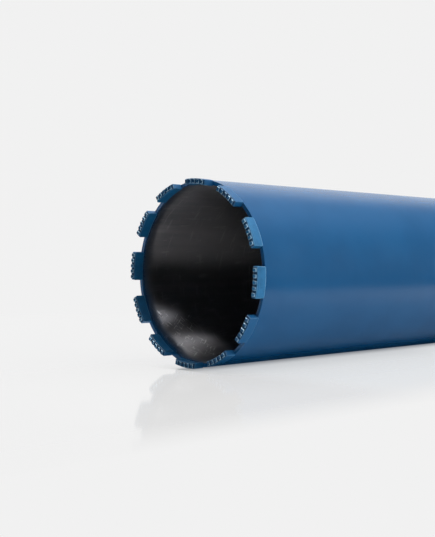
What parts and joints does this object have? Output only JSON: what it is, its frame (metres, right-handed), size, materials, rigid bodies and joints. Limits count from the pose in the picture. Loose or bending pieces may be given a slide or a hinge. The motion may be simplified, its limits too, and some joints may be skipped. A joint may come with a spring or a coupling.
{
  "type": "diamond core bit",
  "caption": "Open-ended steel drilling barrel with a ring of welded diamond segments at its mouth and a threaded hexagon hub on its back plate",
  "frame": {"origin": "the centre of the cutting plane, on the barrel's axis, level with the tips of the segments that the bit stands on", "axes": "+Z runs along the barrel's axis from the cutting plane up to the hub, +X points through the middle of segment_01, and +Y completes the right-handed frame, through the middle of segment_04"},
  "size_m": [0.152, 0.152, 0.514],
  "materials": {
    "blue_paint": "semi-gloss blue paint over steel, bare dark steel inside the barrel",
    "segment_paint": "semi-gloss blue paint over sintered diamond segments",
    "hub_steel": "bare machined steel"
  },
  "bodies": {
    "root": {"barrel_tube": "blue_paint", "end_plate": "blue_paint", "hub": "hub_steel", "segment_01": "segment_paint", "segment_02": "segment_paint", "segment_03": "segment_paint", "segment_04": "segment_paint", "segment_05": "segment_paint", "segment_06": "segment_paint", "segment_07": "segment_paint", "segment_08": "segment_paint", "segment_09": "segment_paint", "segment_10": "segment_paint", "segment_11": "segment_paint", "segment_12": "segment_paint"}
  },
  "joints": []
}
